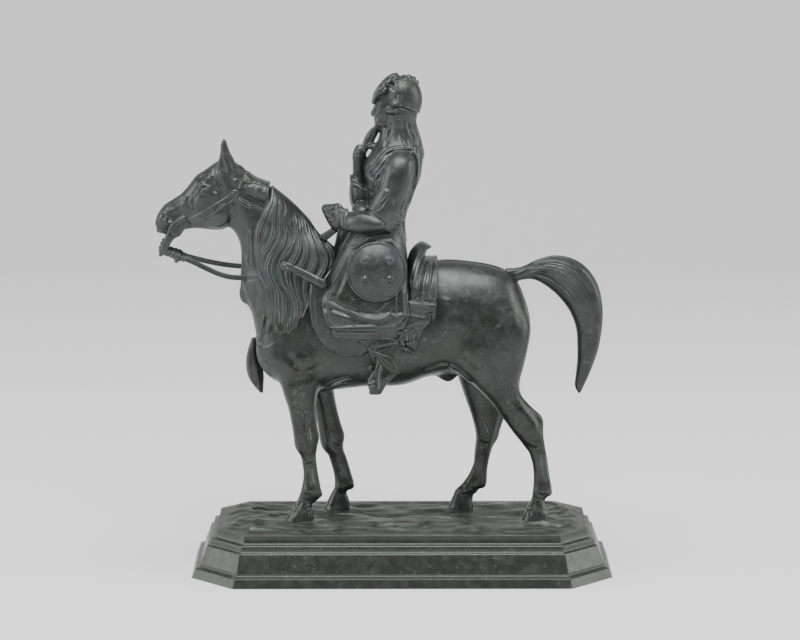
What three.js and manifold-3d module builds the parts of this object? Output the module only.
// Bronze statuette of a mounted warrior, 381 mm high on a stepped eight-sided plinth.
// Millimetres, +Z up. The origin is the centre of the plinth's underside. The horse faces -X, and its
// left side, where the rider carries the shield, faces -Y.

import * as THREE from 'three';
import { mergeVertices } from 'three/addons/utils/BufferGeometryUtils.js';
import Module from 'manifold-3d';

const wasm = await Module();
wasm.setup();

// Plinth: outline of its underside, and its moulding as [distance out from the top edge, height].
const PLINTH_LENGTH = 320;
const PLINTH_DEPTH = 147;
const CORNER_CUT = 32.6;
const MOULDING = [
  [0, 36.5], [1.2, 30.2], [4.6, 29.4], [5.2, 26.6], [7.6, 23.6], [12.6, 10.4], [16.6, 7.2], [19.2, 0],
];
const RIM_BORDER = 2.5;
const GROUND_RISE = 3;
const GROUND_WAVE = { height: 1.1, long: 22 * Math.PI, deep: 18 * Math.PI, swing: 1.7, skew: 31 };
const GROUND_FADE = 14;
const GROUND_THICKNESS = 12;
const GROUND_GRID = [20, 8];
const FIT_GAP = 0.3;

// Rung tables for what is drawn by its side view. A rung is [x, z of the front or upper edge, x, z of
// the rear or lower edge, y of the middle, half width across, how far the first edge leans to +Y].
const TORSO = [
  [-111, 179, -109, 163, 0, 8],
  [-108, 199, -104, 152, 0, 23],
  [-97, 216, -95, 144, 0, 30],
  [-78, 229, -78, 139, 0, 33],
  [-52, 238, -56, 137.5, 0, 33.5],
  [-24, 236, -28, 140.5, 0, 35],
  [4, 235, 0, 141.5, 0, 36],
  [30, 238.5, 22, 149, 0, 35.5],
  [52, 237, 46, 152, 0, 35],
  [71, 233.5, 66, 150, 0, 34],
  [85, 226.5, 83, 152, 0, 29],
  [93.5, 209, 92, 160, 0, 20],
  [98, 195, 97, 176, 0, 8],
];
const NECK = [
  [-104, 168, -36, 222, 0, 27],
  [-112, 184, -49, 246, 0, 25],
  [-115, 198, -58, 255, 0, 23],
  [-122, 214, -68, 266, 0, 20],
  [-122.5, 229, -80, 279.5, 0, 17],
  [-122, 243, -92, 291, 0, 14.5],
  [-124, 254, -104, 299, 0, 13],
  [-129, 262, -115, 305, 0, 12.5],
  [-138, 267, -126, 311, 0, 12],
  [-146, 276, -137, 308, 0, 9],
];
const HEAD = [
  [-120, 309, -124, 288, 0, 7],
  [-129, 314, -128, 268, 0, 11.5],
  [-139, 313.5, -134, 262.5, 0, 13.5],
  [-148, 307.5, -141, 261.3, 0, 14],
  [-155, 303, -149, 262, 0, 13.5],
  [-161, 295.5, -156, 262.5, 0, 11],
  [-167, 288.8, -162, 262, 0, 9],
  [-174, 284.2, -168, 260.5, 0, 8],
  [-180, 280, -173, 258.5, 0, 8.4],
  [-185, 273, -178, 257.5, 0, 8],
  [-187, 266, -182.5, 259.5, 0, 5.5],
];
const EAR = [
  [-137, 308, -120, 302, 7, 4],
  [-137.2, 315, -125.5, 313, 8, 4],
  [-137, 322, -130, 321, 8.5, 3],
  [-136.6, 328, -132.8, 327, 8.5, 1.8],
  [-135.6, 332.5, -134.8, 332.5, 8.5, 0.6],
];
const FORELEG_LEFT = [
  [-106, 190, -62, 190, -15, 13],
  [-99, 167, -58, 169, -17.5, 14],
  [-93.4, 149.4, -60.6, 150.4, -18, 12.5],
  [-90.4, 137.4, -64.1, 137.4, -18, 10.5],
  [-86.4, 125.4, -65.1, 125.4, -18, 9],
  [-82.4, 106.5, -64.2, 106.5, -18, 7.8],
  [-80, 95.4, -64.6, 96.4, -18, 6.8],
  [-77, 87.4, -65.6, 88.4, -18, 5.2],
  [-75.2, 75.4, -64.3, 76, -18, 4.6],
  [-77, 63.4, -62.8, 62.4, -18, 5.8],
  [-79.5, 56.4, -64.4, 56.4, -18, 5.4],
  [-82, 51.4, -68.9, 52.4, -18, 5.8],
  [-85.5, 46.4, -68.9, 46.4, -18, 7.2],
  [-90.2, 37, -69.1, 37, -18, 8.8],
];
const FORELEG_RIGHT = [
  [-98, 184, -54, 184, 15, 13],
  [-89, 161, -52, 163, 17.5, 14],
  [-80.5, 144.6, -53.3, 144.6, 18, 12.5],
  [-71.4, 130.6, -51.8, 130.6, 18, 10.5],
  [-67.4, 118.6, -49.8, 118.6, 18, 9],
  [-63.9, 99.6, -45.8, 100.2, 18, 7.9],
  [-60.4, 87.6, -45.2, 87.6, 18, 6.8],
  [-56.3, 79.6, -43.2, 80.6, 18, 5.4],
  [-52.6, 66.6, -39.6, 68, 18, 4.8],
  [-52.3, 56.6, -37.2, 58.6, 18, 5.8],
  [-55, 51.6, -42.5, 53, 18, 5.2],
  [-57, 47, -41.2, 48, 18, 5.8],
  [-58.8, 43, -40.2, 43, 18, 7],
  [-61.9, 36, -40.7, 36, 18, 8.6],
];
const HINDLEG_LEFT = [
  [46, 208, 88, 212, -12, 11],
  [36, 188, 94.5, 199, -16.4, 15.4],
  [34.5, 171, 96.7, 186, -18, 17],
  [39.6, 158.4, 93.2, 163.4, -18, 16.5],
  [52.5, 146.4, 89.3, 146.4, -18, 14.5],
  [65.4, 133.4, 90.7, 137.4, -18, 11.5],
  [75.4, 120.4, 98.2, 128.4, -18, 9],
  [82.3, 111.4, 105.4, 120.4, -18, 8],
  [91.4, 99.9, 107.8, 104, -18, 7.5],
  [98.2, 87.4, 109.9, 90.4, -18, 5.6],
  [100.2, 75, 112.1, 75.4, -18, 4.6],
  [99.7, 61.4, 114.1, 62.4, -18, 5.8],
  [98.7, 56.4, 110.1, 56.4, -18, 5.2],
  [96.2, 51.4, 108.5, 52.4, -18, 5.8],
  [94.2, 46.4, 109.9, 46.4, -18, 7.2],
  [90.9, 37, 110.6, 37, -18, 8.6],
];
const HINDLEG_RIGHT = [
  [46, 208, 88, 212, 12, 11],
  [36, 188, 94, 199, 16.4, 15.4],
  [34.3, 171.6, 95.8, 184.6, 18, 17],
  [38.4, 156.6, 91.8, 161.6, 18, 16.5],
  [43.4, 141.6, 86.7, 143.6, 18, 14],
  [48.4, 127.6, 82.7, 126.6, 18, 11.5],
  [53.5, 113.6, 79.7, 113.6, 18, 9.4],
  [57.3, 97.6, 74.2, 98.2, 18, 7.6],
  [56.5, 84.6, 69.6, 86.6, 18, 5.6],
  [53.6, 70.6, 66.3, 72, 18, 4.7],
  [47.4, 60.1, 64.9, 57.6, 18, 5.6],
  [41.9, 54.6, 58.5, 54.1, 18, 5.2],
  [39.4, 49.6, 55.5, 50, 18, 5.6],
  [37.7, 45.1, 55, 45, 18, 7],
  [34.3, 36, 55.5, 36, 18, 8.4],
];
const TAIL = [
  [78, 231.5, 84, 219, 0, 4],
  [90, 232.5, 91, 222.5, 0, 4.5],
  [101, 238, 101, 222.5, 0, 6],
  [115, 241.4, 111.5, 216.5, 0, 8],
  [129, 239.2, 121, 207.5, 0, 9],
  [140.6, 231.6, 128.5, 196.5, 0, 9],
  [148.8, 219.3, 132.6, 184.5, 0, 8.6],
  [152.6, 203, 133.6, 171.5, 0, 8],
  [152.6, 187, 133.6, 159.5, 0, 7],
  [149.6, 168, 132.6, 148.5, 0, 6],
  [143.6, 150.6, 132, 140.5, 0, 4],
  [137, 135.6, 135, 134, 0, 1],
];
const MANE = [
  [-102, 299, -92, 294, -5, 5, -2],
  [-111, 281, -81, 282, -10.5, 7, -5],
  [-113, 265, -70, 270, -12, 8, -6],
  [-113.5, 251, -62, 259.5, -15, 8, -5],
  [-112, 240, -59, 248, -18, 8, -2],
  [-110.5, 230, -62, 234, -21, 8, 2],
  [-108, 219, -66, 219, -24, 7.5, 4],
  [-107, 207, -70, 204, -27, 6.5, 5],
  [-106.5, 196, -76, 194, -29, 5.5, 4.5],
  [-105, 185, -84, 186, -30, 3.6, 3],
];
const SHEATH = [
  [24, 152, 24, 150, 0, 4],
  [28, 157, 29, 147, 0, 5],
  [34, 157, 35, 146, 0, 5],
  [40, 155, 40, 150, 0, 3],
];
const CHEST_TASSEL = [
  [-114.5, 178, -111, 178, 1, 2],
  [-117.5, 168, -109, 168, 1, 4.2],
  [-118.8, 157, -106.5, 156, 1, 5.4],
  [-117, 147, -105.5, 147, 1, 5],
  [-112.6, 140, -106, 140, 1, 3.2],
  [-108.2, 135, -106.4, 135, 1, 1],
];
const POLL_COLLAR = [
  [-117, 307.5, -127, 284, 0, 14.8],
  [-99, 299.5, -107, 274, 0, 16.4],
];
const BIT_CHEEK = [
  [-178, 268, -168, 266, 8.2, 1.6],
  [-179.5, 258.5, -169, 256, 8.6, 1.8],
  [-181.5, 252, -174.8, 250.5, 8.6, 1.8],
  [-184.6, 246.5, -178.5, 245.5, 8.4, 2],
  [-184, 242.8, -181, 242, 8.4, 1.4],
];

// Path tables for straps, limbs and locks. A station is [x, y, z, half size up or along, half size out].
const BRIDLE_CHEEK = [
  [-124, 12, 292, 1.8, 2],
  [-137, 12.6, 281, 1.8, 2],
  [-149, 12.6, 271.5, 1.8, 2],
  [-160, 9.6, 264.5, 1.8, 2],
];
const BREAST_STRAP = [
  [-111.5, 0, 176, 2.4, 2],
  [-109, 11, 174, 2.4, 2],
  [-103, 20.4, 173, 2.4, 2],
  [-93, 28, 175, 2.4, 2.4],
  [-80, 31.4, 180, 2.4, 2.6],
  [-66, 33, 187, 2.4, 2.6],
];
const REIN_LEFT = [
  [-166, -8, 241.2, 2, 1],
  [-158, -8.6, 238, 2, 1],
  [-148, -9.4, 233.2, 2, 1],
  [-138, -10.6, 229, 2, 1],
  [-128, -12, 226.8, 2, 1],
  [-116, -14.6, 226.4, 2, 1],
];
const REIN_RIGHT = [
  [-166, 8, 240.4, 2, 1],
  [-158, 8.6, 238, 2, 1],
  [-148, 9.4, 235.4, 2, 1],
  [-138, 10.6, 233.2, 2, 1],
  [-128, 12, 231.6, 2, 1],
  [-115, 14.6, 231, 2, 1],
];

// Tips of the mane's locks, below its gathered mass, as path tables.
const LOCK_TIPS = [
  [[-103, -27, 196, 4.4, 3], [-103.5, -29, 184, 3.8, 2.8], [-104.5, -29, 174, 1, 1]],
  [[-96, -31, 198, 4.4, 3], [-96.5, -32, 185, 4, 2.8], [-98.5, -32, 174, 1, 1]],
  [[-87, -32, 200, 4.4, 3], [-88, -34, 188, 4, 2.8], [-91, -34, 178, 1, 1]],
  [[-78, -32, 208, 4.4, 3], [-79, -35, 196, 4, 2.8], [-82, -35, 185, 1, 1]],
];

// Rider.
const RIDER_BODY = [
  [-34, 252, 3, 252, 0, 22],
  [-32, 264, 2, 264, 0, 20],
  [-30, 276, 5, 275, 0, 22],
  [-29, 289, 9.5, 288, 0, 26],
  [-28.5, 302, 13.5, 301, 0, 29],
  [-27, 312, 15, 312, 0, 30],
  [-22, 321, 14.5, 322, 0, 24],
  [-17.5, 330, 12, 331, 0, 14],
  [-15, 340, 9, 341, 0, 9],
];
const SASH = [
  [-34, 258, 3.4, 257, 0, 21.5],
  [-36, 263.5, 4.8, 263, 0, 23],
  [-33.5, 269.5, 4, 269, 0, 21],
];
const LAPEL = [
  [-12, -13, 331, 4, 3.4],
  [-21, -10, 319, 4.4, 3.4],
  [-28, -4, 305, 4.4, 3],
  [-30, 4, 289, 4, 3],
  [-31, 10, 274, 3.4, 3],
];
const HAIR = [
  [-9, 354, 12.8, 352, 0, 12.8],
  [-8, 344, 12.4, 344, 0, 12.6],
  [-8, 334, 14, 334, 0, 14.4],
  [-9, 325, 17, 323, 0, 19],
  [-6, 315, 17.6, 313, 0, 21],
  [0, 304, 16, 302, 0, 18],
];
const FACE = [
  [-19, 367, -2, 367, 0, 8.5],
  [-20.5, 358, -2, 358, 0, 9.5],
  [-21, 350, -3, 350, 0, 9],
  [-20.5, 343, -5, 343, 0, 7.4],
  [-18.5, 337.5, -8, 338, 0, 4.4],
];
const EYE = { centre: [-147, 12.4, 293.5], size: [4.4, 2.6, 3.2] };
const JOWL = { centre: [-139, 9, 277], size: [11, 6, 13] };
const NOSTRIL = { centre: [-180.5, 6.4, 270], size: [4, 3.2, 4.2] };
const BIT_BAR = { x: -182, z: 245, halfLength: 9, radius: 1.8 };
const BIT_END = [
  [-181, 8.4, 245, 2.4, 1.8],
  [-174, 8.2, 243.8, 2, 1.8],
  [-169.5, 8, 242.6, 3.2, 2.2],
  [-166.6, 8, 241.2, 1.4, 1.2],
];
const HELMET = { centre: [-2, 0, 362], size: [18.2, 14.6, 18] };
const CREST = [
  [-23, 358.5, -19, 357.5, 0, 8],
  [-20.8, 366.5, -14, 362, 0, 8.4],
  [-15, 374.8, -8, 369, 0, 6.5],
  [-8, 379.8, -3.5, 374, 0, 4],
  [-3, 381, -1.5, 379, 0, 1.5],
];
const EAR_BOSS = { centre: [-6, 14, 358], size: [4.6, 2.4, 4.6] };
const ARM_LEFT = [
  [1, -18, 321.5, 9.4, 7],
  [1.5, -27, 316, 11, 8.6],
  [0, -32, 303, 10.6, 8.2],
  [-1, -35, 290, 9.6, 8],
  [-3, -36, 279.5, 8.6, 7.6],
  [-12, -35, 274.6, 7.6, 7],
  [-24, -31, 274.6, 7.2, 6.8],
  [-35, -25.5, 274.2, 6.8, 6.4],
  [-44, -19.5, 274, 5.4, 5],
  [-49, -16.5, 274, 5, 5],
];
const VAMBRACE = [
  [-15, -35, 274.6, 8.2, 7.6],
  [-26, -30.6, 275, 8.4, 7.6],
  [-38, -23.8, 275.2, 8, 7],
];
const FIST_LEFT = [
  [-58, 284, -48, 285, -13.5, 3],
  [-62, 278, -45, 280, -13.5, 6],
  [-61, 271, -44, 271, -13.5, 6.4],
  [-55, 263, -44, 263, -13.5, 5],
];
const ARM_RIGHT = [
  [1, 18, 320.5, 9.4, 7],
  [-1.5, 27, 314, 10.4, 8.6],
  [-9, 31, 300, 9.4, 8.4],
  [-18, 30.5, 287, 8.8, 8],
  [-26.5, 26.5, 277.5, 8.2, 8],
  [-31.5, 20, 280, 8, 8],
  [-32.5, 14.5, 292, 7.4, 7.4],
  [-32.5, 10, 303, 5, 5],
  [-33, 8, 311, 4.4, 4.4],
];
const CUFF_RIGHT = [
  [-31.2, 18, 281, 8.6, 8.6],
  [-32.2, 13, 300, 9.4, 9],
];
const FIST_RIGHT = { centre: [-33, 7, 316.6], size: [5.6, 6, 8] };
const HORN = [
  [-31.4, 321, -24.5, 316, 5, 3.4],
  [-29.4, 329, -21.5, 324, 4, 4.6],
  [-26.8, 335.2, -18.5, 330.5, 3, 4.6],
  [-22.6, 339.4, -16, 335.5, 2, 3.2],
];
const COAT_SKIRT = [
  [-37, 268, -1, 268, 8, 12],
  [-43, 255, 2, 255, 14, 19],
  [-51, 240, 4, 240, 22, 20],
  [-57, 226, 5, 226, 29.5, 16],
  [-61, 214, 6, 212, 35.5, 12],
  [-58, 204, 6, 203, 38.5, 9.4],
  [-54, 193, 2.5, 193.5, 39.5, 8],
];
const COAT_HEM = [
  [-61.5, 210, 6.4, 207, 38, 10.6],
  [-58.4, 201, 5.6, 201.5, 39.2, 10],
  [-55, 192.6, 3, 193, 39.8, 9.2],
];
const UNDER_HEM = [
  [-56, 200, 0, 197, 38, 8],
  [-52.5, 185.5, -4, 184.5, 38.5, 6.8],
];
const SADDLE_FLAP = [
  [-69.5, 226, -10, 224, 31, 6],
  [-69.8, 206, -12, 206, 35, 5],
  [-65.4, 189, -14, 190, 36.4, 4],
  [-56, 176, -20, 178, 36, 3.4],
  [-45, 170, -30, 171, 35, 2.6],
];
const POMMEL = [
  [-61, 222, -40, 218, 0, 29],
  [-57, 236, -38, 234, 0, 21],
  [-51.5, 249, -34, 246, 0, 13],
  [-49, 260, -34, 257, 0, 9],
  [-45, 268, -36, 266, 0, 6],
];
const BOOT = [
  [-22, 190, -3, 188, 39.5, 6],
  [-24.5, 177, -9, 176, 40.5, 5.6],
  [-27.5, 166, -11, 165, 41.5, 5.2],
  [-29, 157, -9.5, 158, 42, 5.4],
  [-27.5, 149.5, -12, 151, 42, 5],
  [-25, 142.5, -16.5, 142.8, 42, 3.4],
];
const CANTLE = [
  [4, 206, 11.5, 204, 0, 35],
  [4, 226, 14.5, 224, 0, 31],
  [5.5, 241, 17.2, 239, 0, 22],
  [9.4, 248.4, 18.8, 245.8, 0, 15],
  [14.5, 251.6, 21, 247.2, 0, 9],
  [18, 251, 22.8, 248, 0, 4],
];
const BLANKET = [
  [6, 238.8, 6, 186, 0, 38],
  [16.5, 240, 15.5, 186, 0, 38.6],
  [27, 240, 24.5, 186, 0, 38],
];
const SIDE_BAG = [
  [-4, 211, 22, 207, 34.5, 5.5],
  [-3, 196, 21.5, 197, 36, 5],
  [-2, 184, 16, 190, 36, 4],
  [3, 173, 11, 176, 35, 2.5],
];
const CRUPPER_STRAP = [
  [4, 214, 6, 206.5, 38, 2.6],
  [14, 212.6, 15, 205, 38.6, 2.6],
  [26, 210.4, 23.5, 204.4, 37.4, 2.2],
];
const SWORD_HILT = [
  [-90, 243, -92.5, 237, -31.5, 2.6],
  [-85.5, 244, -88, 234.5, -32.5, 3],
  [-72, 237.5, -77, 228, -34.5, 3],
  [-59, 231, -64, 221, -37, 3],
];
const HAND_REIN = [
  [-46, -12, 266, 3.4, 4],
  [-58, -9, 253, 3.4, 4],
  [-70, -7, 240, 3.4, 4],
];
const SHIELD = {
  centre: [-18, -46, 237], radius: 22.3, dome: 6.5, back: 4, rim: 1.8, rimWidth: 2, lean: 9, turn: 5,
};
const BOSS = { spread: 11.4, radius: 2.9, sunk: 1.4 };

const LEFT = -1;
const RIGHT = 1;

// The row at t, from 0 to 1, of a table of evenly spaced rows, on a Catmull-Rom curve.
function rowAt(table, t) {
  const last = table.length - 1;
  const at = THREE.MathUtils.clamp(t, 0, 1) * last;
  const i = Math.min(Math.floor(at), last - 1);
  const f = at - i;
  const [a, b, c, d] = [i - 1, i, i + 1, i + 2].map((k) => table[THREE.MathUtils.clamp(k, 0, last)]);
  return b.map((_, k) => b[k] + 0.5 * f * (c[k] - a[k]
    + f * (2 * a[k] - 5 * b[k] + 4 * c[k] - d[k] + f * (3 * (b[k] - c[k]) + d[k] - a[k]))));
}

// A point of the section at an angle: squareness above 2 flattens its sides, and flutes are grooves
// cut into it, as deep as that share of its radius.
function sectionPoint(angle, { squareness = 2, flutes = 0, fluteDepth = 0 }) {
  const draw = (value) => Math.sign(value) * Math.abs(value) ** (2 / squareness);
  const reach = 1 - fluteDepth * (0.5 - 0.5 * Math.cos(flutes * angle));
  return [reach * draw(Math.cos(angle)), reach * draw(Math.sin(angle))];
}

// A closed three.js geometry as a solid that can be joined and cut.
function solid(geometry) {
  geometry.deleteAttribute('normal');
  geometry.deleteAttribute('uv');
  const welded = mergeVertices(geometry, 1e-3);
  const vertProperties = Float32Array.from(welded.getAttribute('position').array);
  const triVerts = Uint32Array.from(welded.index.array);
  const corner = (i) => new THREE.Vector3().fromArray(vertProperties, 3 * triVerts[i]);
  let volume = 0;
  for (let i = 0; i < triVerts.length; i += 3) {
    volume += corner(i).dot(corner(i + 1).cross(corner(i + 2)));
  }
  if (volume < 0) triVerts.reverse();
  return new wasm.Manifold(new wasm.Mesh({ numProp: 3, vertProperties, triVerts }));
}

// A closed skin of sections: place(t, along, across) puts each section point of a bar from t = 0 to 1.
function skin(sides, rows, style, place) {
  const form = new THREE.CylinderGeometry(1, 1, 1, sides, rows);
  const position = form.getAttribute('position');
  for (let i = 0; i < position.count; i++) {
    const [u, v] = [position.getZ(i), position.getX(i)];
    const onRim = Math.hypot(u, v) > 0.5 ? 1 : 0;
    const [along, across] = sectionPoint(Math.atan2(v, u), style);
    position.setXYZ(i, ...place(0.5 - position.getY(i), onRim * along, onRim * across));
  }
  return solid(form);
}

// A form drawn by its side view: each rung's two points are the ends of an oval as wide as it says.
function ladder(rungs, sides, rows = rungs.length - 1, style = {}) {
  return skin(sides, rows, style, (t, along, across) => {
    const [x1, z1, x2, z2, y, w, lean = 0] = rowAt(rungs, t);
    return [
      (x1 + x2 + along * (x1 - x2)) / 2, y + across * w + along * lean, (z1 + z2 + along * (z1 - z2)) / 2,
    ];
  });
}

// A bar along a path of stations, oval in section.
function limb(stations, sides, rows = stations.length - 1, style = {}) {
  const at = (t) => new THREE.Vector3(...rowAt(stations, t));
  const step = 0.01;
  return skin(sides, rows, style, (t, along, across) => {
    const ahead = at(t + step).sub(at(t - step)).normalize();
    const up = new THREE.Vector3(0, 1, 0).cross(ahead).normalize();
    const out = ahead.clone().cross(up);
    const [, , , high, wide] = rowAt(stations, t);
    return at(t).addScaledVector(up, high * along).addScaledVector(out, wide * across).toArray();
  });
}

// Tables on the rider's or the horse's one side: their y counts outwards from the middle.
function rungsOn(side, rungs) {
  return rungs.map(([x1, z1, x2, z2, y, w]) => [x1, z1, x2, z2, side * y, w]);
}

function stationsOn(side, stations) {
  return stations.map(([x, y, z, high, wide]) => [x, side * y, z, high, wide]);
}

function onSide(side, { centre: [x, y, z], size }) {
  return { centre: [x, side * y, z], size };
}

function ball({ centre, size }, sides, rings) {
  return solid(new THREE.SphereGeometry(1, sides, rings).scale(...size).translate(...centre));
}

function join(solids) {
  return solids.reduce((whole, piece) => whole.add(piece));
}

function horseBody() {
  return join([
    ladder(TORSO, 12),
    ladder(NECK, 12, 8),
    ladder(HEAD, 10),
    ladder(rungsOn(LEFT, EAR), 6),
    ladder(rungsOn(RIGHT, EAR), 6),
    ladder(FORELEG_LEFT, 8),
    ladder(FORELEG_RIGHT, 8),
    ladder(HINDLEG_LEFT, 8),
    ladder(HINDLEG_RIGHT, 8),
    ladder(SHEATH, 6),
  ]);
}

// Eye, jowl and nostril rim.
function headDetail(side) {
  return join([
    ball(onSide(side, EYE), 6, 4),
    ball(onSide(side, JOWL), 8, 4),
    ball(onSide(side, NOSTRIL), 6, 4),
  ]);
}

function mane() {
  const gathered = ladder(MANE, 16, MANE.length - 1, { squareness: 2.4, flutes: 8, fluteDepth: 0.3 });
  return join([gathered, ...LOCK_TIPS.map((tip) => limb(tip, 5, 3))]);
}

function tail() {
  return ladder(TAIL, 12, TAIL.length - 1, { flutes: 6, fluteDepth: 0.16 });
}

function bitBar() {
  const { x, z, halfLength, radius } = BIT_BAR;
  return solid(new THREE.CylinderGeometry(radius, radius, 2 * halfLength, 6).translate(x, 0, z));
}

function harness() {
  const side = (s) => join([
    ladder(rungsOn(s, BIT_CHEEK), 6, 4, { squareness: 3 }),
    limb(stationsOn(s, BRIDLE_CHEEK), 4),
    limb(stationsOn(s, BREAST_STRAP), 4),
    limb(stationsOn(s, BIT_END), 6),
  ]);
  return join([
    side(LEFT),
    side(RIGHT),
    bitBar(),
    ladder(POLL_COLLAR, 12, 1, { squareness: 2.4 }),
    ladder(CHEST_TASSEL, 6),
  ]);
}

function saddle() {
  const flat = { squareness: 3 };
  const side = (s) => join([
    ladder(rungsOn(s, SADDLE_FLAP), 8, 4, flat),
    ladder(rungsOn(s, SIDE_BAG), 8, 3, flat),
    ladder(rungsOn(s, CRUPPER_STRAP), 4),
  ]);
  return join([
    side(LEFT),
    side(RIGHT),
    ladder(CANTLE, 10, 5, { squareness: 2.4 }),
    ladder(POMMEL, 8, 4, { squareness: 2.3 }),
    ladder(BLANKET, 14, 2, { squareness: 2.3 }),
    ladder(SWORD_HILT, 6, 3, flat),
  ]);
}

function riderLower() {
  const folds = { squareness: 2.6, flutes: 6, fluteDepth: 0.1 };
  const flat = { squareness: 3 };
  const side = (s) => join([
    ladder(rungsOn(s, COAT_SKIRT), 12, 5, folds),
    ladder(rungsOn(s, COAT_HEM), 8, 2, flat),
    ladder(rungsOn(s, UNDER_HEM), 8, 1, flat),
    ladder(rungsOn(s, BOOT), 8, 5, { squareness: 2.4 }),
  ]);
  return join([side(LEFT), side(RIGHT)]);
}

// A shallow dome with a rolled rim and four bosses, on the rider's left hip.
function shield() {
  const { centre, radius, dome, back, rim, rimWidth, lean, turn } = SHIELD;
  const inner = radius - rimWidth;
  const profile = [[0, -back], [radius, 1 - back], [radius, rim], [inner, rim]];
  const steps = 4;
  for (let k = 1; k < steps; k++) {
    const angle = (k / steps) * (Math.PI / 2);
    profile.push([(inner - 0.4) * Math.cos(angle), dome * Math.sin(angle)]);
  }
  profile.push([0, dome]);
  const place = new THREE.Matrix4().makeTranslation(...centre)
    .multiply(new THREE.Matrix4().makeRotationZ(THREE.MathUtils.degToRad(turn)))
    .multiply(new THREE.Matrix4().makeRotationX(THREE.MathUtils.degToRad(180 - lean)));
  const points = profile.map(([r, h]) => new THREE.Vector2(r, h));
  const bosses = [45, 135, 225, 315].map((degrees) => {
    const angle = THREE.MathUtils.degToRad(degrees);
    const [x, z] = [BOSS.spread * Math.cos(angle), BOSS.spread * Math.sin(angle)];
    const boss = new THREE.SphereGeometry(BOSS.radius, 6, 4).translate(x, dome - BOSS.sunk, z);
    return solid(boss.applyMatrix4(place));
  });
  return join([solid(new THREE.LatheGeometry(points, 16).applyMatrix4(place)), ...bosses]);
}

function helmet() {
  return join([
    ball(HELMET, 12, 7),
    ladder(CREST, 6, 4, { squareness: 2.6 }),
    ball(onSide(LEFT, EAR_BOSS), 6, 4),
    ball(onSide(RIGHT, EAR_BOSS), 6, 4),
    ladder(HAIR, 12, 4, { flutes: 6, fluteDepth: 0.1 }),
  ]);
}

function riderUpper() {
  const sleeve = { flutes: 4, fluteDepth: 0.08 };
  return join([
    ladder(RIDER_BODY, 10, 7, { squareness: 2.3 }),
    ladder(SASH, 10),
    limb(LAPEL, 4),
    ladder(FACE, 8),
    helmet(),
    limb(ARM_LEFT, 8, 8, sleeve),
    limb(VAMBRACE, 8),
    limb(ARM_RIGHT, 8, 7, sleeve),
    limb(CUFF_RIGHT, 8),
    ladder(FIST_LEFT, 6),
    ball(FIST_RIGHT, 6, 4),
    ladder(HORN, 6),
    limb(HAND_REIN, 6, 1, { squareness: 3 }),
  ]);
}

// Corners of the eight-sided plinth, spread out from its top edge.
function octagon(out) {
  const inwards = MOULDING[MOULDING.length - 1][0] - out;
  const a = PLINTH_LENGTH / 2 - inwards;
  const b = PLINTH_DEPTH / 2 - inwards;
  const c = CORNER_CUT - inwards * (2 - Math.SQRT2);
  return [[a - c, b], [a, b - c], [a, c - b], [a - c, -b], [c - a, -b], [-a, c - b], [-a, b - c], [c - a, b]];
}

// Eight-sided rings, each [out, height], joined from the top down.
function stepped(levels) {
  const steps = levels.length - 1;
  const form = new THREE.CylinderGeometry(1, 1, 1, 8, steps);
  const position = form.getAttribute('position');
  for (let i = 0; i < position.count; i++) {
    const [u, v] = [position.getX(i), position.getZ(i)];
    const [out, height] = levels[Math.round((0.5 - position.getY(i)) * steps)];
    const corner = Math.round(Math.atan2(u, v) / (Math.PI / 4));
    const [x, y] = octagon(out)[(corner + 8) % 8];
    const onRim = Math.hypot(u, v) > 0.5 ? 1 : 0;
    position.setXYZ(i, x * onRim, y * onRim, height);
  }
  return solid(form);
}

// The earth's height: level with the rim at its edge, and gently waved inside.
function groundHeight(x, y) {
  const [, rim] = MOULDING[0];
  const [spread] = MOULDING[MOULDING.length - 1];
  const a = PLINTH_LENGTH / 2 - spread;
  const b = PLINTH_DEPTH / 2 - spread;
  const cut = CORNER_CUT - spread * (2 - Math.SQRT2);
  const toCorner = (a + b - cut - Math.abs(x) - Math.abs(y)) / Math.SQRT2;
  const inside = Math.min(a - Math.abs(x), b - Math.abs(y), toCorner) - RIM_BORDER;
  const fade = THREE.MathUtils.smoothstep(inside, 0, GROUND_FADE);
  const { height, long, deep, swing, skew } = GROUND_WAVE;
  const turnX = (2 * Math.PI * x) / long + swing * Math.sin((2 * Math.PI * y) / long);
  const turnY = (2 * Math.PI * y) / deep + x / skew;
  return rim + fade * (GROUND_RISE + height * Math.sin(turnX) * Math.cos(turnY));
}

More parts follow.
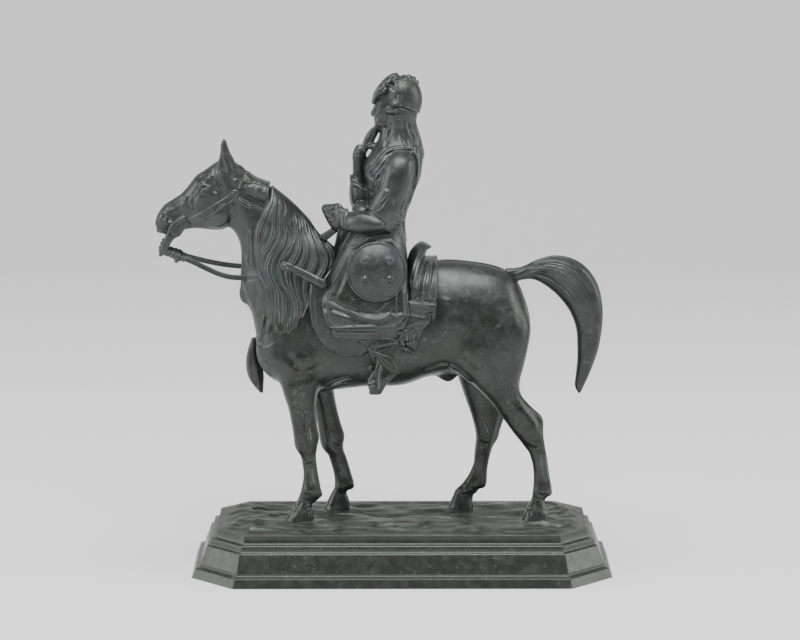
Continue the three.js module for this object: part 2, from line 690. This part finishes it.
// The modelled earth: a block with an uneven top, trimmed to eight sides a little inside the rim.
function ground() {
  const [, rim] = MOULDING[0];
  const [spread] = MOULDING[MOULDING.length - 1];
  const long = PLINTH_LENGTH - 2 * spread;
  const deep = PLINTH_DEPTH - 2 * spread;
  const block = new THREE.BoxGeometry(long, deep, GROUND_THICKNESS, ...GROUND_GRID, 1);
  block.translate(0, 0, rim - GROUND_THICKNESS);
  const position = block.getAttribute('position');
  for (let i = 0; i < position.count; i++) {
    if (position.getZ(i) > rim - GROUND_THICKNESS) {
      position.setZ(i, groundHeight(position.getX(i), position.getY(i)));
    }
  }
  const trim = stepped([[-RIM_BORDER, rim + GROUND_THICKNESS], [-RIM_BORDER, rim - GROUND_THICKNESS / 2]]);
  return solid(block).intersect(trim);
}

function plinth() {
  return stepped(MOULDING).add(ground());
}

function shifted(body, offset) {
  const { vertProperties, triVerts } = body.getMesh();
  const moved = vertProperties.map((value, i) => value + offset[i % 3]);
  return new wasm.Manifold(new wasm.Mesh({ numProp: 3, vertProperties: moved, triVerts }));
}

const bronze = { metalness: 0.7, roughness: 0.42 };
const figureBronze = new THREE.MeshStandardMaterial({ ...bronze, color: 0x2f3331 });
const plinthBronze = new THREE.MeshStandardMaterial({ ...bronze, color: 0x34372f });

function mesh(name, body, material) {
  const { vertProperties, triVerts } = body.getMesh();
  const geometry = new THREE.BufferGeometry();
  geometry.setAttribute('position', new THREE.BufferAttribute(vertProperties, 3));
  geometry.setIndex(new THREE.BufferAttribute(triVerts, 1));
  geometry.computeVertexNormals();
  const made = new THREE.Mesh(geometry, material);
  made.name = name;
  return made;
}

const base = plinth();
const figure = join([
  horseBody(), headDetail(LEFT), headDetail(RIGHT), mane(), tail(), harness(), saddle(),
  riderLower(), shield(), riderUpper(),
]).subtract(shifted(base, [0, 0, FIT_GAP]));
const roomForReins = join([
  [-FIT_GAP, 0, 0], [FIT_GAP, 0, 0], [0, -FIT_GAP, 0], [0, FIT_GAP, 0],
].map((offset) => shifted(figure, offset)));

function rein(stations) {
  return limb(stations, 6, 8, { squareness: 3 }).subtract(roomForReins);
}

const statuette = new THREE.Group();
statuette.add(
  mesh('plinth', base, plinthBronze),
  mesh('horse_and_rider', figure, figureBronze),
  mesh('rein_left', rein(REIN_LEFT), figureBronze),
  mesh('rein_right', rein(REIN_RIGHT), figureBronze),
);

export default statuette;
